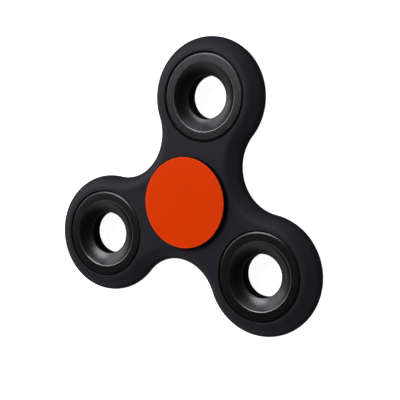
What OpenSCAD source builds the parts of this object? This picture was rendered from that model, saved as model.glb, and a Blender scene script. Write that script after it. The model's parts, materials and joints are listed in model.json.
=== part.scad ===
// Three-lobed fidget spinner on a 608-size ball bearing.
// It lies flat: the spin axis is +Z, the front cap is on top and one lobe points along +Y.
// The origin is on the spin axis, at the face of the rear cap that the spinner lies on.

/* [Body] */
// Distance from the spin axis to the middle of each lobe
lobe_pitch = 26.15; // [26:0.05:26.5]
// Radius of each round lobe, and of the middle round the bearing
lobe_r = 14.85; // [14.7:0.05:15.2]
// Thickness of the moulded body, whose edge is fully round
body_t = 7; // [6.8:0.1:7.2]
// Chamfer at the mouth of each seat in the body
seat_chamfer = 0.15; // [0.1:0.05:0.3]

/* [Weight rings] */
// Outer diameter of a weight ring, the same as the bearing's
ring_d = 22; // [21.8:0.1:22]
// Width of a weight ring, whose faces lie a little below the body's
ring_w = 6.6; // [6.4:0.1:7]
// Width of the rounded shoulder round the outside of a ring
shoulder_w = 0.8; // [0.4:0.05:0.9]
// Radius where the funnel meets the flat face of the ring
mouth_r = 8.45; // [8.2:0.05:9]
// Radius of the straight throat through the ring
throat_r = 5.25; // [4.8:0.05:5.5]
// Length of the straight throat
throat_len = 2.84; // [2.2:0.1:3.4]
// Chamfer at each end of the throat
throat_edge = 0.2; // [0.1:0.05:0.3]

/* [Bearing] */
// Bore of the bearing
bore_d = 8; // [8:1:8]
// Outer diameter of the bearing
bearing_d = 22; // [22:1:22]
// Width of the bearing
bearing_w = 7; // [7:1:7]
// Diameter of a ball
ball_d = 3.969; // [3.969:0.001:3.969]
// Diameter of the circle that the ball centres lie on
pitch_d = 15; // [15:1:15]
// Gap between a ball and each race
ball_gap = 0.02; // [0.015:0.005:0.03]

/* [Caps] */
// Radius of a finger cap
cap_r = 11.3; // [11:0.05:11.4]
// Radius of the coloured disc on a cap
disc_r = 11.15; // [10.8:0.05:11.2]
// Height of a cap's face above the body
cap_proud = 1.4; // [1.2:0.1:1.8]
// Running gap between a cap and the body
cap_gap = 0.4; // [0.3:0.05:0.5]
// Thickness of the coloured disc on a cap
disc_t = 0.3; // [0.2:0.05:0.4]
// Radius of the peg that joins the two caps inside the bearing
peg_r = 1.9; // [1.6:0.1:2.2]

/* [Hidden] */

$fn = 96;
more = 1;                                // how far a cutter runs past what it cuts

lobes = 3;
side = 180 / lobes;                      // angle from a lobe to the waist beside it
waist_r = lobe_pitch - lobe_r;           // a waist is as far from the axis as a lobe is
edge_r = body_t / 2;                     // the body's edge is a half circle
mid_z = body_t / 2 + cap_proud;          // height of the body's middle plane
lobe_steps = 40;                         // flats round a lobe, round a waist and over the edge
waist_steps = 12;
edge_steps = 8;

ring_r = ring_d / 2;
shoulder_r = 1;                          // radius of the rings' rounded shoulders
face_z = body_t / 2;

balls = 7;
ball_r = ball_d / 2;
pitch_r = pitch_d / 2;
race_edge = 0.3;                         // chamfer on the races' outer edges
groove_r = 2.06;                         // radius of the raceway grooves, a little over the ball's
inner_land_r = 6.05;
outer_land_r = 8.75;
land_z = 2.6;                            // half length of the outer race's land
shield_t = 0.25;
shield_bore_r = 6.3;
shield_r = 9.65;
clip_groove_r = 9.95;                    // radius of the groove that the clip springs into
clip_r = 9.3;
clip_t = 0.25;
clip_split = 24;                         // angle of the gap in a clip
cage_in_r = 6.75;
cage_out_r = 8.25;
cage_t = 0.3;
pocket_gap = 0.065;                      // clearance between a ball and its pocket
rivet_r = 0.35;
rivet_head_r = 0.6;
rivet_head_t = 0.2;

boss_r = 5.8;                            // foot of a cap, which stands on the inner race
stem_end = 0.1;                          // each stem stops this far short of the middle
peg_len = 3;
socket_play = 0.2;                       // room beyond the peg's end
disc_edge = 0.2;                         // chamfer round the coloured disc

body_colour = "#26262c";
ring_colour = "#3a3c3d";
cap_colour = "#141416";
disc_colour = "#dc4200";
steel_colour = "#b4b6b8";
cage_colour = "#8e9092";

// Puts a shape made about the origin in lobe number i.
module at_lobe(i) rotate([0, 0, 90 + i * 360 / lobes]) translate([lobe_pitch, 0, 0]) children();

// Lifts a shape made about the body's middle plane to its place.
module lift() translate([0, 0, mid_z]) children();

// A shape made for the front, turned over for the rear.
module rear() mirror([0, 0, 1]) children();

// A flat washer between two heights.
module washer(r_out, r_in, z_low, z_high) {
    rotate_extrude()
        translate([r_in, z_low])
            square([r_out - r_in, z_high - z_low]);
}

// ---- body ----

// Points along an arc about a centre that lies lobe_pitch from the axis in direction c.
function arc(c, r, a_from, a_to, steps) =
    [for (k = [0:steps - 1])
        let (a = a_from + (a_to - a_from) * k / steps)
            [lobe_pitch * cos(c) + r * cos(a), lobe_pitch * sin(c) + r * sin(a)]];

// The body's outline, drawn in by a distance d: each lobe, then the waist after it.
function outline(d) =
    [for (i = [0:lobes - 1], part = [0, 1])
        let (c = 90 + i * 360 / lobes)
            each part == 0
                ? arc(c, lobe_r - d, c - 2 * side, c + 2 * side, lobe_steps)
                : arc(c + side, waist_r + d, c + 5 * side, c + 3 * side, waist_steps)];

// The body's round rim: the outline is drawn in over a half circle, and closed by a straight wall inside.
module rim() {
    n = lobes * (lobe_steps + waist_steps);
    rings = [for (k = [0:edge_steps])
        let (a = 180 * k / edge_steps - 90)
            [for (p = outline(edge_r * (1 - cos(a)))) [p[0], p[1], edge_r * sin(a)]]];
    polyhedron(
        points = [for (ring = rings) each ring],
        faces = [for (k = [0:edge_steps], i = [0:n - 1])
            let (low = k * n, high = (k + 1) % (edge_steps + 1) * n, next = (i + 1) % n)
                [low + i, high + i, high + next, low + next]]);
}

// The flat middle of the body, inside the rim.
module core() {
    translate([0, 0, -edge_r])
        linear_extrude(body_t)
            polygon(outline(edge_r));
}

// Cuts a seat for a ring or the bearing, with a chamfer at both mouths.
module seat_cutter(r) {
    half_t = body_t / 2;
    rotate_extrude()
        polygon([[0, -half_t - more], [r + seat_chamfer + more, -half_t - more],
                 [r, seat_chamfer - half_t], [r, half_t - seat_chamfer],
                 [r + seat_chamfer + more, half_t + more], [0, half_t + more]]);
}

module spinner_body() {
    color(body_colour) lift() union() {
        rim();
        difference() {
            core();
            seat_cutter(bearing_d / 2);
            for (i = [0:lobes - 1])
                at_lobe(i) seat_cutter(ring_r);
        }
    }
}

// ---- weight rings ----

// Half of a ring's section: throat, hollow funnel with its turned line, flat face and chamfer.
module ring_section() {
    low = [throat_r + throat_edge, throat_len / 2 + throat_edge];
    high = [mouth_r, ring_w / 2];
    half = norm(high - low) / 2;
    bowl_r = 4.8 * half;
    along = (high - low) / (2 * half);
    centre = (low + high) / 2 + sqrt(pow(bowl_r, 2) - pow(half, 2)) * [-along[1], along[0]];
    shoulder = [ring_r - shoulder_w, ring_w / 2 - shoulder_r];
    difference() {
        polygon([[throat_r, 0], [throat_r, throat_len / 2], low, high, [ring_r, ring_w / 2], [ring_r, 0]]);
        intersection() {
            translate(centre) circle(r = bowl_r);
            translate([low[0], 0]) square([high[0] - low[0], ring_w]);
        }
        difference() {
            translate(shoulder) square([shoulder_w + 1, shoulder_r + 1]);
            translate(shoulder) circle(r = shoulder_r);
        }
    }
}

module weight_ring(i) {
    color(ring_colour) lift() at_lobe(i) rotate_extrude() {
        ring_section();
        mirror([0, 1]) ring_section();
    }
}

module weight_ring_1() weight_ring(0);
module weight_ring_2() weight_ring(1);
module weight_ring_3() weight_ring(2);

// ---- bearing ----

module bearing_outer_race() {
    contact_r = pitch_r + ball_r + ball_gap;
    r = bearing_d / 2;
    half_w = bearing_w / 2;
    color(steel_colour) lift() rotate_extrude() difference() {
        polygon([[outer_land_r, -land_z], [outer_land_r, land_z], [shield_r, land_z],
                 [shield_r, land_z + shield_t], [clip_groove_r, land_z + shield_t],
                 [clip_groove_r, land_z + shield_t + clip_t], [shield_r, land_z + shield_t + clip_t],
                 [shield_r, half_w], [r - race_edge, half_w], [r, half_w - race_edge],
                 [r, race_edge - half_w], [r - race_edge, -half_w], [shield_r, -half_w],
                 [shield_r, -land_z - shield_t - clip_t], [clip_groove_r, -land_z - shield_t - clip_t],
                 [clip_groove_r, -land_z - shield_t], [shield_r, -land_z - shield_t],
                 [shield_r, -land_z]]);
        translate([contact_r - groove_r, 0]) circle(r = groove_r);
    }
}

module bearing_inner_race() {
    contact_r = pitch_r - ball_r - ball_gap;
    r = bore_d / 2;
    half_w = bearing_w / 2;
    color(steel_colour) lift() rotate_extrude() difference() {
        polygon([[r, race_edge - half_w], [r, half_w - race_edge], [r + race_edge, half_w],
                 [inner_land_r - race_edge, half_w], [inner_land_r, half_w - race_edge],
                 [inner_land_r, race_edge - half_w], [inner_land_r - race_edge, -half_w],
                 [r + race_edge, -half_w]]);
        translate([contact_r + groove_r, 0]) circle(r = groove_r);
    }
}

// Puts a shape made about the origin at ball number i.
module at_ball(i) rotate([0, 0, 90 + i * 360 / balls]) translate([pitch_r, 0, 0]) children();

// Puts a shape made about the origin midway between ball number i and the next.
module at_rivet(i) rotate([0, 0, 90 + (i + 0.5) * 360 / balls]) translate([pitch_r, 0, 0]) children();

module ball(i) {
    color(steel_colour) lift() at_ball(i) sphere(r = ball_r);
}

module ball_1() ball(0);
module ball_2() ball(1);
module ball_3() ball(2);
module ball_4() ball(3);
module ball_5() ball(4);
module ball_6() ball(5);
module ball_7() ball(6);

// A round bar that lies across the cage ribbon at every ball.
module at_pockets(r) {
    for (i = [0:balls - 1])
        at_ball(i) rotate([0, 90, 0]) cylinder(h = 2 * (cage_out_r - cage_in_r), r = r, center = true);
}

// The front half of the pressed cage: a flat ribbon that arches over each ball.
module cage_half() {
    pocket_r = ball_r + pocket_gap;
    difference() {
        intersection() {
            washer(cage_out_r, cage_in_r, 0, pocket_r + cage_t + more);
            union() {
                cylinder(h = cage_t, r = cage_out_r + more);
                at_pockets(pocket_r + cage_t);
            }
        }
        at_pockets(pocket_r);
        for (i = [0:balls - 1])
            at_rivet(i) cylinder(h = 4 * cage_t, r = rivet_r, center = true, $fn = 24);
    }
}

module cage_front() color(cage_colour) lift() cage_half();
module cage_rear() color(cage_colour) lift() rear() cage_half();

module cage_rivets() {
    color(steel_colour) lift() for (i = [0:balls - 1]) at_rivet(i) {
        cylinder(h = 2 * cage_t, r = rivet_r, center = true, $fn = 24);
        translate([0, 0, cage_t]) cylinder(h = rivet_head_t, r = rivet_head_r, $fn = 24);
        translate([0, 0, -cage_t - rivet_head_t]) cylinder(h = rivet_head_t, r = rivet_head_r, $fn = 24);
    }
}

// A thin steel washer that keeps dust out of the balls.
module shield() washer(shield_r, shield_bore_r, land_z, land_z + shield_t);

// A split spring ring that holds a shield in the outer race.
module shield_clip() {
    rotate([0, 0, 90 + clip_split / 2])
        rotate_extrude(angle = 360 - clip_split)
            translate([clip_r, land_z + shield_t])
                square([clip_groove_r - clip_r, clip_t]);
}

module shield_front() color(steel_colour) lift() shield();
module shield_rear() color(steel_colour) lift() rear() shield();
module shield_clip_front() color(steel_colour) lift() shield_clip();
module shield_clip_rear() color(steel_colour) lift() rear() shield_clip();

// ---- caps ----

// A finger cap without what joins it to the other: face, boss and stem.
module cap_blank() {
    disc_low = face_z + cap_gap;
    disc_high = face_z + cap_proud - disc_t;
    translate([0, 0, disc_low]) cylinder(h = disc_high - disc_low, r = cap_r);
    translate([0, 0, face_z]) cylinder(h = cap_gap, r = boss_r);
    translate([0, 0, stem_end]) cylinder(h = face_z - stem_end, r = bore_d / 2);
}

module front_cap() {
    color(cap_colour) lift() difference() {
        cap_blank();
        cylinder(h = peg_len + socket_play, r = peg_r);
    }
}

module rear_cap() {
    color(cap_colour) lift() {
        rear() cap_blank();
        translate([0, 0, -stem_end]) cylinder(h = peg_len + stem_end, r = peg_r);
    }
}

// The coloured disc that covers a cap's face, with a small chamfer round it.
module cap_disc() {
    top = face_z + cap_proud;
    rotate_extrude()
        polygon([[0, top - disc_t], [disc_r, top - disc_t], [disc_r, top - disc_edge],
                 [disc_r - disc_edge, top], [0, top]]);
}

module front_cap_disc() color(disc_colour) lift() cap_disc();
module rear_cap_disc() color(disc_colour) lift() rear() cap_disc();

spinner_body();
weight_ring_1();
weight_ring_2();
weight_ring_3();
bearing_outer_race();
bearing_inner_race();
ball_1();
ball_2();
ball_3();
ball_4();
ball_5();
ball_6();
ball_7();
cage_front();
cage_rear();
cage_rivets();
shield_front();
shield_rear();
shield_clip_front();
shield_clip_rear();
front_cap();
rear_cap();
front_cap_disc();
rear_cap_disc();
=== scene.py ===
"""A three-lobed fidget spinner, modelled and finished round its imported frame.

The moulded body, the three ring weights and the two finger caps are modelled here.
The ball bearing between the caps keeps the frame's own parts and gets its finishes here.
"""

import json
import math

import bmesh
import bpy
from bpy.props import FloatProperty, FloatVectorProperty, IntProperty, PointerProperty
from mathutils import Matrix, Vector


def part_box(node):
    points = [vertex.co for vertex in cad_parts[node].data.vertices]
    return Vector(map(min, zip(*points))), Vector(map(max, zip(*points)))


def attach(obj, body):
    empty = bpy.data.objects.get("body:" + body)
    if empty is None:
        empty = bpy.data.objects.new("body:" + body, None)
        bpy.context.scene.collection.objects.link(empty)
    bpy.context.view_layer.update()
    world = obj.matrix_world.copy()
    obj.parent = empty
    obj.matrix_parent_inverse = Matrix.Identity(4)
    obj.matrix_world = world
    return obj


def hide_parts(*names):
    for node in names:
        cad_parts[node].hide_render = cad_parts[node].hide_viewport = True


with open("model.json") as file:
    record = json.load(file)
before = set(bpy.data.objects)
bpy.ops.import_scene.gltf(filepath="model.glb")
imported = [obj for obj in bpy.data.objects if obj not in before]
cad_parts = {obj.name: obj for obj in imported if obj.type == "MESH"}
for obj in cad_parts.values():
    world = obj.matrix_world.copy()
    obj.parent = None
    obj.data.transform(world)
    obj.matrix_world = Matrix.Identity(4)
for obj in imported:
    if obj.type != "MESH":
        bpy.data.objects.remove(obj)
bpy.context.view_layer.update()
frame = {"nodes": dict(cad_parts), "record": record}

bl_info = {
    "name": "Fidget Spinner",
    "version": (1, 0, 0),
    "blender": (4, 5, 0),
    "location": "3D View > Sidebar > Spinner",
    "description": "Models a three-lobed fidget spinner round its packed frame and finishes it",
    "category": "Mesh",
}

MM = 0.001
TOUCHING = 1e-6                  # points closer than this are one point
FUNNEL_START_SLOPE = 20          # slope of a ring's funnel where it leaves the throat, in degrees
FUNNEL_HOLLOW = 2.4              # radius of the funnel's curve, as a share of its chord
FUNNEL_STEPS = 16
SHOULDER_STEPS = 10
THROAT_EDGE_STEPS = 6
SMALL_EDGE_STEPS = 5             # steps over a small rounded edge


def middle(node):
    """The middle of a frame part's box."""
    low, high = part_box(node)
    return (low + high) / 2


def size_of(node):
    """The three side lengths of a frame part's box."""
    low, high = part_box(node)
    return high - low


def mount(name):
    """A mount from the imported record."""
    return next(m for m in frame["record"]["mounts"] if m["name"] == name)


RING_NODES = ("weight_ring_1", "weight_ring_2", "weight_ring_3")
BALL_NODES = tuple(f"ball_{i}" for i in range(1, 8))
LOBES = len(RING_NODES)
MID_Z = middle("spinner_body").z
BODY_T = size_of("spinner_body").z
LOBE_PITCH = middle("weight_ring_1").y
THROAT = mount("throat_1")["dims"]


def linear(hex_colour):
    """A colour written as sRGB hex, as the linear values that a shader takes."""
    parts = [int(hex_colour[i:i + 2], 16) / 255 for i in (1, 3, 5)]
    return tuple(p / 12.92 if p <= 0.04045 else ((p + 0.055) / 1.055) ** 2.4 for p in parts) + (1.0,)


# ---- sizes and colours that a user may change ----

def length(name, description, default):
    """A length property in metres."""
    return FloatProperty(name=name, description=description, default=default, min=0,
                         unit="LENGTH", subtype="DISTANCE", precision=5)


def colour(name, description, hex_colour):
    """A colour property whose default is written as sRGB hex."""
    return FloatVectorProperty(name=name, description=description, default=linear(hex_colour),
                               size=4, min=0, max=1, subtype="COLOR")


class SpinnerBodySizes(bpy.types.PropertyGroup):
    """Sizes of the moulded body."""
    lobe_radius: length("Lobe radius", "Radius of each round lobe",
                        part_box("spinner_body")[1].y - LOBE_PITCH)
    seat_radius: length("Seat radius", "Radius of the seats for the bearing and the ring weights",
                        size_of("weight_ring_1").x / 2)
    mouth_round: length("Seat mouth rounding", "Radius of the soft edge round each seat", 0.15 * MM)


class SpinnerRingSizes(bpy.types.PropertyGroup):
    """Sizes of a ring weight's section."""
    shoulder_width: length("Shoulder width", "Width of the rounded shoulder round the outside", 0.8 * MM)
    shoulder_radius: length("Shoulder radius", "Radius of the rounded shoulder's curve", 1.0 * MM)
    mouth_radius: length("Mouth radius", "Radius where the funnel meets the flat face", 8.45 * MM)
    throat_radius: length("Throat radius", "Radius of the straight throat", THROAT["r_mm"] * MM)
    throat_length: length("Throat length", "Length of the straight throat", THROAT["length_mm"] * MM)
    throat_round: length("Throat rounding", "Radius of the edge at each end of the throat", 0.3 * MM)
    edge_break: length("Edge break", "Width of the broken edge at the funnel's mouth", 0.16 * MM)


class SpinnerCapSizes(bpy.types.PropertyGroup):
    """Sizes of a finger cap."""
    gap: length("Running gap", "Gap between a cap and the body", 0.4 * MM)
    socket_top: length("Socket top", "Height of the socket's end above the middle plane", 3.2 * MM)
    disc_round: length("Disc edge rounding", "Radius of the coloured disc's edge", 0.16 * MM)
    edge_round: length("Cap edge rounding", "Radius of the black cap's lower edge; its upper one is half",
                       0.12 * MM)
    boss_radius: length("Boss radius", "Radius of the foot that stands on the inner race", 5.8 * MM)
    stem_radius: length("Stem radius", "Radius of the stem in the bearing's bore", 4 * MM)
    peg_radius: length("Peg radius", "Radius of the peg that joins the two caps", 1.9 * MM)


class SpinnerFinishes(bpy.types.PropertyGroup):
    """Colours of the finishes."""
    body: colour("Body", "Soft-touch ABS of the body", "#1e1e26")
    ring: colour("Ring weights", "Black-plated steel of the ring weights", "#39393b")
    # The ring mouth colour paints a highlight: a paler band along each funnel's mouth.
    ring_mouth_highlight: colour("Painted mouth highlight", "Painted highlight along the funnel's mouth", "#606062")
    cap: colour("Caps", "Black ABS of the caps", "#040405")
    disc: colour("Cap discs", "Orange ABS of the discs on the caps", "#e63c00")
    # The disc rim colour is a painted highlight along the edge of each disc.
    disc_rim_highlight: colour("Disc rim", "Paler orange along the edge of each disc", "#f24a12")
    steel: colour("Bearing steel", "Ground chrome steel of the races and balls", "#b4b6b8")
    cage: colour("Cage and shields", "Pressed sheet steel of the cage, shields and clips", "#9a9c9e")
    floor: colour("Floor", "Matt white floor", "#f4f4f4")


class SpinnerSmoothness(bpy.types.PropertyGroup):
    """How finely curves are drawn."""
    round_steps: IntProperty(name="Edge steps", description="Steps over the body's round edge",
                             default=28, min=8, max=64)
    lobe_steps: IntProperty(name="Lobe steps", description="Steps round each lobe",
                            default=80, min=24, max=240)
    waist_steps: IntProperty(name="Waist steps", description="Steps round each waist",
                             default=32, min=12, max=120)
    turned_steps: IntProperty(name="Turned steps", description="Steps round each turned piece",
                              default=160, min=48, max=360)


class SpinnerProperties(bpy.types.PropertyGroup):
    """All the settings of the spinner."""
    body: PointerProperty(type=SpinnerBodySizes, name="Body", description="Sizes of the moulded body")
    ring: PointerProperty(type=SpinnerRingSizes, name="Rings", description="Sizes of the ring weights")
    cap: PointerProperty(type=SpinnerCapSizes, name="Caps", description="Sizes of the finger caps")
    finish: PointerProperty(type=SpinnerFinishes, name="Finishes", description="Colours of the finishes")
    smooth: PointerProperty(type=SpinnerSmoothness, name="Smoothness",
                            description="How finely curves are drawn")


# ---- modelling helpers ----

def clear_selection():
    """Leaves nothing selected, in object mode."""
    if bpy.context.object and bpy.context.object.mode != "OBJECT":
        bpy.ops.object.mode_set(mode="OBJECT")
    bpy.ops.object.select_all(action="DESELECT")


def only(obj):
    """Selects one object and makes it the active one."""
    clear_selection()
    obj.select_set(True)
    bpy.context.view_layer.objects.active = obj


def select_points(test):
    """In edit mode, selects the points whose place passes a test, and nothing else."""
    bpy.ops.mesh.select_mode(type="VERT")
    bpy.ops.mesh.select_all(action="DESELECT")
    obj = bpy.context.edit_object
    mesh = bmesh.from_edit_mesh(obj.data)
    for v in mesh.verts:
        if test(obj.matrix_world @ v.co):
            v.select_set(True)
    mesh.select_flush(True)
    bmesh.update_edit_mesh(obj.data)


def apply_modifier(obj, kind, **settings):
    """Adds a modifier with its settings and applies it."""
    only(obj)
    bpy.ops.object.modifier_add(type=kind)
    modifier = obj.modifiers[-1]
    for key, value in settings.items():
        setattr(modifier, key, value)
    bpy.ops.object.modifier_apply(modifier=modifier.name)


def finish_mesh(obj, sharp_from=30):
    """Puts the piece's place into its mesh and shades it: flats stay flat and rounds stay smooth."""
    only(obj)
    bpy.ops.object.transform_apply(location=True, rotation=True, scale=True)
    bpy.ops.object.shade_smooth_by_angle(angle=math.radians(sharp_from))
    apply_modifier(obj, "WEIGHTED_NORMAL", keep_sharp=True, weight=100)


def arc(centre, radius, start, end, steps):
    """Points of a section along an arc, as (distance from the axis, height). Angles are in degrees."""
    angles = [math.radians(start + (end - start) * k / steps) for k in range(steps + 1)]
    return [(centre[0] + radius * math.cos(a), centre[1] + radius * math.sin(a)) for a in angles]


def turned(name, centre, section, steps, closed):
    """A piece turned about a vertical axis: a circle is extruded through each point of the section.
    The section goes back to its start if closed, and otherwise both ends get a flat face."""
    clear_selection()
    radius, height = section[0]
    bpy.ops.mesh.primitive_circle_add(vertices=steps, radius=radius, fill_type="NOTHING",
                                      location=(centre.x, centre.y, height))
    obj = bpy.context.object
    obj.name = obj.data.name = name
    bpy.ops.object.mode_set(mode="EDIT")
    bpy.ops.mesh.select_mode(type="VERT")
    bpy.ops.mesh.select_all(action="SELECT")
    for next_radius, next_height in section[1:]:
        bpy.ops.mesh.extrude_edges_move(
            TRANSFORM_OT_translate={"value": (0, 0, next_height - height)})
        grow = next_radius / radius
        bpy.ops.transform.resize(value=(grow, grow, 1),
                                 center_override=(centre.x, centre.y, next_height))
        radius, height = next_radius, next_height
    bpy.ops.mesh.select_all(action="SELECT")
    if closed:
        bpy.ops.mesh.remove_doubles(threshold=TOUCHING)
    else:
        bpy.ops.mesh.fill_holes(sides=0)
    bpy.ops.mesh.select_all(action="SELECT")
    bpy.ops.mesh.normals_make_consistent(inside=False)
    bpy.ops.object.mode_set(mode="OBJECT")
    return obj


def copy_of(obj, name, shift=None, mirrored=False):
    """A copy of a finished piece with its own mesh, shifted or turned over about the middle plane."""
    only(obj)
    bpy.ops.object.duplicate(linked=False)
    twin = bpy.context.object
    twin.name = twin.data.name = name
    bpy.ops.object.mode_set(mode="EDIT")
    bpy.ops.mesh.select_all(action="SELECT")
    if shift:
        bpy.ops.transform.translate(value=shift)
    if mirrored:
        bpy.ops.transform.resize(value=(1, 1, -1), center_override=(0, 0, MID_Z))
        bpy.ops.mesh.normals_make_consistent(inside=False)
    bpy.ops.object.mode_set(mode="OBJECT")
    return twin


def place(piece, body, node, material):
    """Gives a finished piece its material and its body, and hides the frame part that it stands for."""
    piece.data.materials.clear()
    piece.data.materials.append(material)
    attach(piece, body)
    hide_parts(node)


# ---- finishes ----

def add_node(tree, kind, inputs=None, **settings):
    """Adds a node to a material. Each input is a value, or another node's output to link to it."""
    node = tree.nodes.new(kind)
    for key, value in settings.items():
        setattr(node, key, value)
    for key, value in (inputs or {}).items():
        if isinstance(value, bpy.types.NodeSocket):
            tree.links.new(value, node.inputs[key])
        else:
            node.inputs[key].default_value = value
    return node


def new_finish(name, **values):
    """A new material. Values that are the same all over are set on the shader's own sockets."""
    material = bpy.data.materials.new(name)
    material.use_nodes = True
    tree = material.node_tree
    shader = next(n for n in tree.nodes if n.type == "BSDF_PRINCIPLED")
    for key, value in values.items():
        shader.inputs[key.replace("_", " ")].default_value = value
    return material, tree, shader


def spread(tree, source, low, high):
    """Maps a pattern from 0..1 to a range."""
    return add_node(tree, "ShaderNodeMapRange",
                    {"Value": source, "To Min": low, "To Max": high}).outputs["Result"]


def shade_of(colour_value, share):
    """The same colour, lighter or darker by a share."""
    return tuple(min(1.0, c * share) for c in colour_value[:3]) + (1.0,)


def band(tree, centred, radius, half_width):
    """A round band about a piece's own axis: 1 along the given radius, fading to 0 on both sides."""
    level = add_node(tree, "ShaderNodeVectorMath", {0: centred, 1: (1, 1, 0)}, operation="MULTIPLY")
    across = add_node(tree, "ShaderNodeVectorMath", {0: level.outputs["Vector"]}, operation="LENGTH")
    offset = add_node(tree, "ShaderNodeMath", {0: across.outputs["Value"], 1: radius}, operation="SUBTRACT")
    away = add_node(tree, "ShaderNodeMath", {0: offset.outputs["Value"]}, operation="ABSOLUTE")
    return add_node(tree, "ShaderNodeMapRange",
                    {"Value": away.outputs["Value"], "From Max": half_width,
                     "To Min": 1.0, "To Max": 0.0}).outputs["Result"]


def pitch_to_scale(pitch):
    """The scale that makes a wave texture's lines one pitch apart."""
    return 2 * math.pi / 20 / pitch


def soft_touch_abs(tone):
    """Moulded ABS with a soft-touch coat: nearly black, very smooth, and matt with a wide soft sheen."""
    material, tree, shader = new_finish("soft_touch_black_abs", IOR=1.5, Specular_IOR_Level=0.12,
                                        Sheen_Weight=0.03, Sheen_Roughness=0.5,
                                        Sheen_Tint=linear("#c8ccdc"))
    place_on = add_node(tree, "ShaderNodeTexCoord").outputs["Object"]
    # The coat pools by a hair over a centimetre or so, which shifts its tone a little.
    cloud = add_node(tree, "ShaderNodeTexNoise", {"Vector": place_on, "Scale": 1 / (14 * MM), "Detail": 2.0})
    tint = add_node(tree, "ShaderNodeMix",
                    {"Factor": cloud.outputs["Fac"],
                     "A": shade_of(tone, 0.93), "B": shade_of(tone, 1.07)}, data_type="RGBA")
    tree.links.new(tint.outputs["Result"], shader.inputs["Base Color"])
    # Spark-eroded mould grain, about 0.05 mm, is drawn at 0.16 mm so that it shows.
    grain = add_node(tree, "ShaderNodeTexNoise",
                     {"Vector": place_on, "Scale": 1 / (0.16 * MM), "Detail": 1.0})
    tree.links.new(spread(tree, grain.outputs["Fac"], 0.46, 0.54), shader.inputs["Roughness"])
    bump = add_node(tree, "ShaderNodeBump",
                    {"Strength": 0.12, "Distance": 0.01 * MM, "Height": grain.outputs["Fac"]})
    tree.links.new(bump.outputs["Normal"], shader.inputs["Normal"])
    return material


def black_plated_steel(tone, mouth_highlight_tone, mouth_radius, centre, number):
    """Turned steel with black zinc plating: dark satin metal, with a paler band painted along the funnel's
    mouth as a painted highlight.
    """
    material, tree, shader = new_finish(f"black_plated_turned_steel_{number}", Metallic=1.0)
    place_on = add_node(tree, "ShaderNodeTexCoord").outputs["Object"]
    centred = add_node(tree, "ShaderNodeMapping",
                       {"Vector": place_on, "Location": (-centre.x, -centre.y, 0)}).outputs["Vector"]
    # Tool lines are about 0.1 mm apart, and are drawn 0.3 mm apart so that they show.
    lines = add_node(tree, "ShaderNodeTexWave",
                     {"Vector": centred, "Scale": pitch_to_scale(0.3 * MM),
                      "Distortion": 0.6, "Detail": 1.0, "Detail Scale": 0.6},
                     wave_type="RINGS", rings_direction="Z")
    cloud = add_node(tree, "ShaderNodeTexNoise", {"Vector": place_on, "Scale": 1 / (4 * MM), "Detail": 3.0})
    tint = add_node(tree, "ShaderNodeMix",
                    {"Factor": cloud.outputs["Fac"],
                     "A": shade_of(tone, 0.85), "B": shade_of(tone, 1.15)}, data_type="RGBA")
    # Painted highlight: a paler band 0.4 mm wide along the funnel's mouth, fading to nothing at its edges. It
    # stands in for the glint on the mouth's rounded edge.
    painted_mouth_highlight = add_node(tree, "ShaderNodeMix",
                    {"Factor": band(tree, centred, mouth_radius, 0.2 * MM), "A": tint.outputs["Result"],
                     "B": shade_of(mouth_highlight_tone, 1.0)}, data_type="RGBA")
    tree.links.new(painted_mouth_highlight.outputs["Result"], shader.inputs["Base Color"])
    tree.links.new(spread(tree, lines.outputs["Fac"], 0.25, 0.33), shader.inputs["Roughness"])
    bump = add_node(tree, "ShaderNodeBump",
                    {"Strength": 0.25, "Distance": 0.01 * MM, "Height": lines.outputs["Fac"]})
    tree.links.new(bump.outputs["Normal"], shader.inputs["Normal"])
    return material


def moulded_abs(name, tone, roughness, rim=None, **values):
    """Plain moulded ABS: a satin skin that is a little uneven.
    A rim is a painted highlight: a paler round band, given as its tone, its radius and half its width."""
    material, tree, shader = new_finish(name, IOR=1.5, **values)
    place_on = add_node(tree, "ShaderNodeTexCoord").outputs["Object"]
    cloud = add_node(tree, "ShaderNodeTexNoise", {"Vector": place_on, "Scale": 1 / (6 * MM), "Detail": 2.0})
    tint = add_node(tree, "ShaderNodeMix",
                    {"Factor": cloud.outputs["Fac"],
                     "A": shade_of(tone, 0.95), "B": shade_of(tone, 1.05)}, data_type="RGBA")
    if rim:
        # The rim band paints a highlight in a paler tone.
        rim_highlight_tone, radius, half_width = rim
        tint = add_node(tree, "ShaderNodeMix",
                        {"Factor": band(tree, place_on, radius, half_width), "A": tint.outputs["Result"],
                         "B": shade_of(rim_highlight_tone, 1.0)}, data_type="RGBA")
    tree.links.new(tint.outputs["Result"], shader.inputs["Base Color"])
    # The skin's slight waves are about 0.4 mm across.
    waves = add_node(tree, "ShaderNodeTexNoise", {"Vector": place_on, "Scale": 1 / (0.4 * MM), "Detail": 1.0})
    tree.links.new(spread(tree, waves.outputs["Fac"], roughness - 0.04, roughness + 0.04),
                   shader.inputs["Roughness"])
    bump = add_node(tree, "ShaderNodeBump",
                    {"Strength": 0.08, "Distance": 0.01 * MM, "Height": waves.outputs["Fac"]})
    tree.links.new(bump.outputs["Normal"], shader.inputs["Normal"])
    return material


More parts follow.
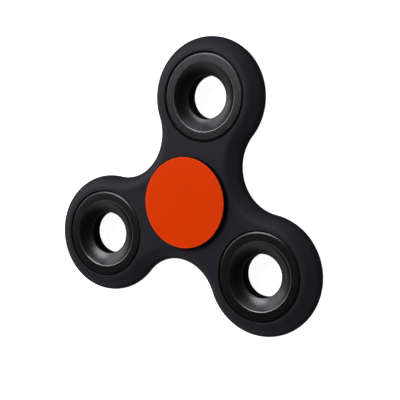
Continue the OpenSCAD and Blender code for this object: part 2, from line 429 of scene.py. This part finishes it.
def bearing_steel(name, tone, roughness, line_pitch):
    """Bare bearing steel, ground or drawn: bright metal with fine round marks about the spin axis."""
    material, tree, shader = new_finish(name, Metallic=1.0)
    place_on = add_node(tree, "ShaderNodeTexCoord").outputs["Object"]
    lines = add_node(tree, "ShaderNodeTexWave",
                     {"Vector": place_on, "Scale": pitch_to_scale(line_pitch),
                      "Distortion": 0.8, "Detail": 1.0}, wave_type="RINGS", rings_direction="Z")
    cloud = add_node(tree, "ShaderNodeTexNoise", {"Vector": place_on, "Scale": 1 / (3 * MM), "Detail": 2.0})
    tint = add_node(tree, "ShaderNodeMix",
                    {"Factor": cloud.outputs["Fac"],
                     "A": shade_of(tone, 0.9), "B": shade_of(tone, 1.05)}, data_type="RGBA")
    tree.links.new(tint.outputs["Result"], shader.inputs["Base Color"])
    tree.links.new(spread(tree, lines.outputs["Fac"], roughness - 0.04, roughness + 0.04),
                   shader.inputs["Roughness"])
    bump = add_node(tree, "ShaderNodeBump",
                    {"Strength": 0.1, "Distance": 0.004 * MM, "Height": lines.outputs["Fac"]})
    tree.links.new(bump.outputs["Normal"], shader.inputs["Normal"])
    return material


# ---- pieces ----

class SPINNER_OT_body(bpy.types.Operator):
    """Model the moulded body with its round edge and its four seats"""
    bl_idname = "spinner.body"
    bl_label = "Body"

    def execute(self, context):
        settings = context.scene.spinner
        body = self.round_plate(settings)
        self.cut_seats(body, settings)
        finish_mesh(body)
        place(body, "spinner", "spinner_body", soft_touch_abs(settings.finish.body))
        return {"FINISHED"}

    def round_plate(self, settings):
        """A plate whose half-round edge is spun round each lobe and each waist in turn."""
        edge = BODY_T / 2
        side = math.radians(180 / LOBES)
        toward = Vector((math.cos(math.radians(90) - 2 * side), math.sin(math.radians(90) - 2 * side), 0))
        lobe_centre = Vector((0, LOBE_PITCH, MID_Z))
        start = lobe_centre + toward * (settings.body.lobe_radius - edge)
        clear_selection()
        bpy.ops.mesh.primitive_circle_add(
            vertices=2 * settings.smooth.round_steps, radius=edge, location=start,
            rotation=(math.radians(90), 0, math.atan2(toward.y, toward.x)))
        body = bpy.context.object
        body.name = body.data.name = "moulded_body"
        bpy.ops.object.mode_set(mode="EDIT")
        select_points(lambda p: (p - start).dot(toward) < -TOUCHING)
        bpy.ops.mesh.delete(type="VERT")
        bpy.ops.mesh.select_all(action="SELECT")
        for i in range(LOBES):
            lobe_angle = math.radians(90) + 2 * i * side
            for angle, turn, steps in ((lobe_angle, 4 * side, settings.smooth.lobe_steps),
                                       (lobe_angle + side, -2 * side, settings.smooth.waist_steps)):
                centre = (LOBE_PITCH * math.cos(angle), LOBE_PITCH * math.sin(angle), MID_Z)
                # A spin's angle runs clockwise, seen from above.
                bpy.ops.mesh.spin(steps=steps, angle=-turn, center=centre, axis=(0, 0, 1))
        bpy.ops.mesh.select_all(action="SELECT")
        bpy.ops.mesh.remove_doubles(threshold=10 * TOUCHING)
        bpy.ops.mesh.fill_holes(sides=0)
        bpy.ops.mesh.select_all(action="SELECT")
        bpy.ops.mesh.normals_make_consistent(inside=False)
        bpy.ops.object.mode_set(mode="OBJECT")
        return body

    def cut_seats(self, body, settings):
        """Cuts the seats of the bearing and the ring weights, each with a soft round mouth."""
        seat, soft = settings.body.seat_radius, settings.body.mouth_round
        high, low = MID_Z + BODY_T / 2, MID_Z - BODY_T / 2
        beyond = 1 * MM
        section = ([(seat + soft, low - beyond)]
                   + arc((seat + soft, low + soft), soft, 270, 180, SMALL_EDGE_STEPS)
                   + arc((seat + soft, high - soft), soft, 180, 90, SMALL_EDGE_STEPS)
                   + [(seat + soft, high + beyond)])
        centres = [Vector((0, 0, MID_Z))] + [middle(node) for node in RING_NODES]
        for centre in centres:
            cutter = turned("seat_cutter", centre, section, settings.smooth.turned_steps, closed=False)
            apply_modifier(body, "BOOLEAN", operation="DIFFERENCE", solver="EXACT", object=cutter)
            bpy.data.objects.remove(cutter)


class SPINNER_OT_ring_weights(bpy.types.Operator):
    """Model one ring weight with its funnel and throat, and copy it to each lobe"""
    bl_idname = "spinner.ring_weights"
    bl_label = "Ring weights"

    def execute(self, context):
        settings = context.scene.spinner
        first = middle(RING_NODES[0])
        face = size_of(RING_NODES[0]).z / 2
        half = self.half_section(settings.ring, face, settings.body.seat_radius)
        section = [(r, MID_Z + z) for r, z in half]
        section += [(r, MID_Z - z) for r, z in reversed(half[1:-1])]
        ring = turned("ring_weight_1", first, section + section[:1],
                      settings.smooth.turned_steps, closed=True)
        self.break_mouth_edges(ring, first, settings.ring)
        finish_mesh(ring)
        rings = [ring] + [copy_of(ring, f"ring_weight_{i}", shift=middle(node) - first)
                          for i, node in enumerate(RING_NODES[1:], 2)]
        # Each ring's finish gets a painted highlight along its funnel's mouth.
        for number, (piece, node) in enumerate(zip(rings, RING_NODES), 1):
            place(piece, "spinner", node,
                  black_plated_steel(settings.finish.ring, settings.finish.ring_mouth_highlight,
                                     settings.ring.mouth_radius, middle(node), number))
        return {"FINISHED"}

    def half_section(self, sizes, face, outer):
        """Half of the section: throat, funnel, flat face and shoulder, from the middle plane outwards."""
        throat, soft = sizes.throat_radius, sizes.throat_round
        throat_edge = arc((throat + soft, sizes.throat_length / 2), soft,
                          180, 90 + FUNNEL_START_SLOPE, THROAT_EDGE_STEPS)
        low, high = Vector(throat_edge[-1]), Vector((sizes.mouth_radius, face))
        chord = high - low
        hollow = FUNNEL_HOLLOW * chord.length
        drop = math.sqrt(hollow ** 2 - (chord.length / 2) ** 2)
        centre = low + chord / 2 + Vector((-chord.y, chord.x)).normalized() * drop
        funnel = []
        for step in range(1, FUNNEL_STEPS + 1):
            radius = low.x + chord.x * step / FUNNEL_STEPS
            funnel.append((radius, centre.y - math.sqrt(hollow ** 2 - (radius - centre.x) ** 2)))
        lean = math.degrees(math.asin(sizes.shoulder_width / sizes.shoulder_radius))
        shoulder = arc((outer - sizes.shoulder_width, face - sizes.shoulder_radius),
                       sizes.shoulder_radius, 90, 90 - lean, SHOULDER_STEPS)
        return [(throat, 0.0)] + throat_edge + funnel + shoulder + [(outer, 0.0)]

    def break_mouth_edges(self, ring, centre, sizes):
        """Rounds the edge where each funnel meets its flat face."""
        only(ring)
        bpy.ops.object.mode_set(mode="EDIT")
        high = size_of(RING_NODES[0]).z / 2

        def on_mouth(point):
            return (abs((point - centre).xy.length - sizes.mouth_radius) < 10 * TOUCHING
                    and abs(abs(point.z - MID_Z) - high) < 10 * TOUCHING)

        select_points(on_mouth)
        bpy.ops.mesh.select_mode(type="EDGE")
        bpy.ops.mesh.bevel(offset=sizes.edge_break, offset_type="OFFSET", segments=4, affect="EDGES")
        bpy.ops.object.mode_set(mode="OBJECT")


class SPINNER_OT_caps(bpy.types.Operator):
    """Model the two black finger caps, which plug together through the bearing"""
    bl_idname = "spinner.caps"
    bl_label = "Finger caps"

    def execute(self, context):
        settings = context.scene.spinner
        sizes = settings.cap
        radius = size_of("front_cap").x / 2
        soft, top_soft = sizes.edge_round, sizes.edge_round / 2
        body_face = MID_Z + BODY_T / 2
        head_low, head_high = body_face + sizes.gap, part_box("front_cap_disc")[0].z
        stem_end, peg_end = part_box("front_cap")[0].z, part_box("rear_cap")[1].z
        outside = ([(sizes.stem_radius, stem_end), (sizes.stem_radius, body_face),
                    (sizes.boss_radius, body_face), (sizes.boss_radius, head_low)]
                   + arc((radius - soft, head_low + soft), soft, 270, 360, SMALL_EDGE_STEPS)
                   + arc((radius - top_soft, head_high - top_soft), top_soft, 0, 90, 4))
        front_hole = [(sizes.peg_radius, MID_Z + sizes.socket_top), (sizes.peg_radius, stem_end)]
        # The rear cap is modelled facing the same way as the front one, then turned over.
        rear_peg = [(sizes.peg_radius, 2 * MID_Z - peg_end), (sizes.peg_radius, stem_end)]
        axis = Vector((0, 0, 0))
        front = turned("front_finger_cap", axis, front_hole + outside,
                       settings.smooth.turned_steps, closed=False)
        finish_mesh(front)
        rear = turned("rear_finger_cap", axis, rear_peg + outside,
                      settings.smooth.turned_steps, closed=False)
        finish_mesh(rear)
        rear_low = copy_of(rear, "rear_finger_cap_turned", mirrored=True)
        bpy.data.objects.remove(rear)
        rear_low.name = rear_low.data.name = "rear_finger_cap"
        black = moulded_abs("satin_black_abs", settings.finish.cap, 0.4, Specular_IOR_Level=0.01)
        place(front, "hub", "front_cap", black)
        place(rear_low, "hub", "rear_cap", black)
        return {"FINISHED"}


class SPINNER_OT_cap_discs(bpy.types.Operator):
    """Model the coloured disc on the face of each finger cap"""
    bl_idname = "spinner.cap_discs"
    bl_label = "Cap discs"

    def execute(self, context):
        settings = context.scene.spinner
        low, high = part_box("front_cap_disc")
        radius, soft = (high.x - low.x) / 2, settings.cap.disc_round
        section = [(radius, low.z)] + arc((radius - soft, high.z - soft), soft, 0, 90, 6)
        front = turned("front_disc", Vector((0, 0, 0)), section,
                       settings.smooth.turned_steps, closed=False)
        finish_mesh(front)
        rear = copy_of(front, "rear_disc", mirrored=True)
        # The paler band along the disc's rounded edge is a painted highlight.
        rim = (settings.finish.disc_rim_highlight, radius - soft, 0.2 * MM)
        orange = moulded_abs("satin_orange_abs", settings.finish.disc, 0.4, rim, Specular_IOR_Level=0.04)
        place(front, "hub", "front_cap_disc", orange)
        place(rear, "hub", "rear_cap_disc", orange)
        return {"FINISHED"}


class SPINNER_OT_bearing(bpy.types.Operator):
    """Give the ball bearing's races, balls, cage, shields and clips their finishes"""
    bl_idname = "spinner.bearing"
    bl_label = "Bearing"

    def execute(self, context):
        finish = context.scene.spinner.finish
        ground = bearing_steel("ground_chrome_steel", finish.steel, 0.16, 0.15 * MM)
        polished = bearing_steel("lapped_chrome_steel", finish.steel, 0.08, 0.4 * MM)
        pressed = bearing_steel("pressed_sheet_steel", finish.cage, 0.3, 0.2 * MM)
        for material, names in (
                (ground, ("bearing_outer_race", "bearing_inner_race")),
                (polished, BALL_NODES),
                (pressed, ("cage_front", "cage_rear", "cage_rivets", "shield_front", "shield_rear",
                           "shield_clip_front", "shield_clip_rear"))):
            for name in names:
                for material_slot in frame["nodes"][name].material_slots:
                    material_slot.material = material
        return {"FINISHED"}


class SPINNER_OT_stage(bpy.types.Operator):
    """Set up the pale floor, the soft lights and the camera"""
    bl_idname = "spinner.stage"
    bl_label = "Stage"

    def execute(self, context):
        self.floor(context)
        self.lights(context)
        self.camera(context)
        return {"FINISHED"}

    def floor(self, context):
        """A matt white floor that glows a little, so that it stays pale round the dark spinner."""
        clear_selection()
        bpy.ops.mesh.primitive_plane_add(size=4, location=(0, 0, 0))
        floor = bpy.context.object
        floor.name = "floor"
        material, tree, shader = new_finish("matt_white_floor", Roughness=0.9, Specular_IOR_Level=0.1,
                                            Base_Color=context.scene.spinner.finish.floor,
                                            Emission_Color=(1, 1, 1, 1), Emission_Strength=0.95)
        floor.data.materials.append(material)
        floor.visible_diffuse = floor.visible_glossy = False

    def lights(self, context):
        """Soft lights from the left, from behind and from above, and a pale band round the horizon."""
        world = bpy.data.worlds.new("pale_surround")
        world.use_nodes = True
        tree = world.node_tree
        background = next(n for n in tree.nodes if n.type == "BACKGROUND")
        direction = add_node(tree, "ShaderNodeTexCoord").outputs["Generated"]
        rise = add_node(tree, "ShaderNodeSeparateXYZ", {"Vector": direction}).outputs["Z"]
        share = add_node(tree, "ShaderNodeMapRange", {"Value": rise, "From Min": -1.0}).outputs["Result"]
        ramp = add_node(tree, "ShaderNodeValToRGB", {"Fac": share})
        ramp.color_ramp.interpolation = "EASE"
        # Each stop is a place from straight down (0) to straight up (1), and how bright the band is there.
        stops = ((0.36, 0.02), (0.46, 0.75), (0.67, 0.75), (0.86, 0.03))
        while len(ramp.color_ramp.elements) < len(stops):
            ramp.color_ramp.elements.new(0.5)
        for element, (position, tone) in zip(ramp.color_ramp.elements, stops):
            element.position = position
            element.color = (tone, tone, tone, 1)
        tree.links.new(ramp.outputs["Color"], background.inputs["Color"])
        context.scene.world = world
        target = middle("spinner_body")
        for name, place_at, size, power in (
                ("left_light", (-0.42, 0.12, 0.26), 0.36, 0.95),
                ("back_light", (-0.13, 0.43, 0.24), 0.36, 0.4),
                ("overhead_light", (-0.24, 0.18, 0.45), 0.20, 1.35)):
            clear_selection()
            aim = target - Vector(place_at)
            bpy.ops.object.light_add(type="AREA", location=place_at,
                                     rotation=aim.to_track_quat("-Z", "Y").to_euler())
            light = bpy.context.object
            light.name = name
            light.data.shape = "SQUARE"
            light.data.size = size
            light.data.energy = power

    def camera(self, context):
        """A long lens that looks down at the front cap from the right."""
        clear_selection()
        eye = Vector((129.86, 41.85, 229.0)) * MM
        aim = Vector((1.69, 0.80, 4.9)) * MM
        ahead = (aim - eye).normalized()
        up = Vector((0, 1, 0))
        right = ahead.cross(up).normalized()
        up = right.cross(ahead)
        upright = Matrix((right, up, -ahead)).transposed()
        roll = Matrix.Rotation(math.radians(-9.04), 3, ahead)
        bpy.ops.object.camera_add(location=eye, rotation=(roll @ upright).to_euler())
        camera = bpy.context.object
        camera.data.lens = 95.25
        camera.data.sensor_width = 36
        context.scene.camera = camera
        context.scene.view_settings.view_transform = "Standard"


class SPINNER_PT_panel(bpy.types.Panel):
    """Lists the spinner's pieces and settings"""
    bl_idname = "SPINNER_PT_panel"
    bl_label = "Fidget Spinner"
    bl_space_type = "VIEW_3D"
    bl_region_type = "UI"
    bl_category = "Spinner"

    def draw(self, context):
        layout = self.layout
        settings = context.scene.spinner
        for operator in OPERATORS:
            layout.operator(operator.bl_idname)
        for name in ("body", "ring", "cap", "finish", "smooth"):
            group = getattr(settings, name)
            box = layout.box()
            for key in group.__annotations__:
                box.prop(group, key)


OPERATORS = (SPINNER_OT_body, SPINNER_OT_ring_weights, SPINNER_OT_caps, SPINNER_OT_cap_discs,
             SPINNER_OT_bearing, SPINNER_OT_stage)
CLASSES = (SpinnerBodySizes, SpinnerRingSizes, SpinnerCapSizes, SpinnerFinishes, SpinnerSmoothness,
           SpinnerProperties) + OPERATORS + (SPINNER_PT_panel,)


def register():
    """Registers the classes and the scene's settings."""
    for cls in CLASSES:
        bpy.utils.register_class(cls)
    bpy.types.Scene.spinner = PointerProperty(type=SpinnerProperties, name="Spinner",
                                              description="Settings of the fidget spinner")


def unregister():
    """Removes the scene's settings and the classes."""
    del bpy.types.Scene.spinner
    for cls in reversed(CLASSES):
        bpy.utils.unregister_class(cls)


def main():
    """Makes every piece and the stage."""
    register()
    bpy.ops.spinner.body()
    bpy.ops.spinner.ring_weights()
    bpy.ops.spinner.caps()
    bpy.ops.spinner.cap_discs()
    bpy.ops.spinner.bearing()
    bpy.ops.spinner.stage()
    bpy.context.view_layer.update()


if __name__ == "__main__":
    main()
